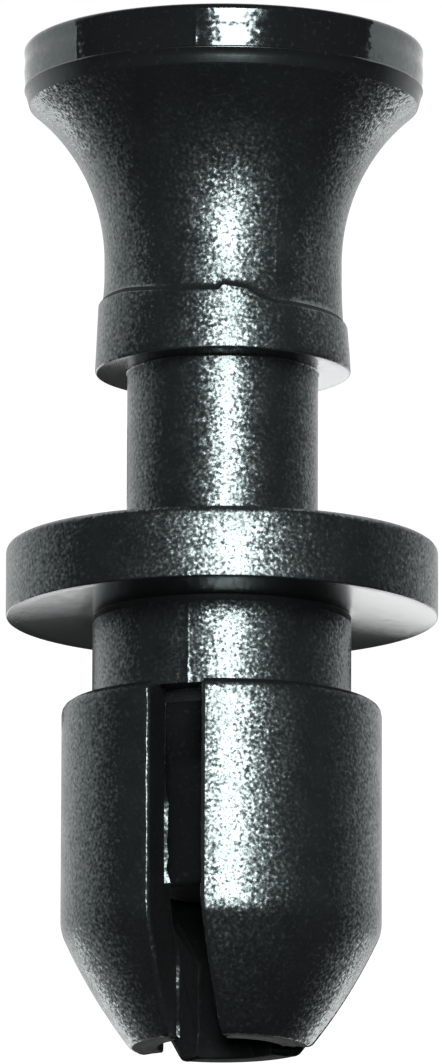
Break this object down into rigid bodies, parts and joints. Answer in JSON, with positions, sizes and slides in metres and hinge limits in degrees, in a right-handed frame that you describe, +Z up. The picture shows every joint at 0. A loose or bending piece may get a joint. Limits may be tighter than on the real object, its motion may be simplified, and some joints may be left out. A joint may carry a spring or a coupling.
{
  "type": "plastic push rivet",
  "caption": "Black plastic push rivet with a slotted snap-in sleeve, a round flange and a plunger with a flared knob, shown pulled out.",
  "frame": {"origin": "middle of the flat face of the knob, which the rivet stands on", "axes": "+Z runs up the axis from the knob to the nose of the sleeve, and the first slot faces -Y"},
  "size_m": [0.0131, 0.013, 0.0309],
  "materials": {
    "black_nylon": "fine spark-eroded satin, with a polished rim on the knob"
  },
  "bodies": {
    "sleeve": {"sleeve": "black_nylon"},
    "plunger": {"plunger": "black_nylon"}
  },
  "joints": [
    {"name": "plunger_push", "type": "slide", "parent": "sleeve", "child": "plunger", "axis": [0, 0, 1], "range_m": [0, 0.0053]}
  ]
}
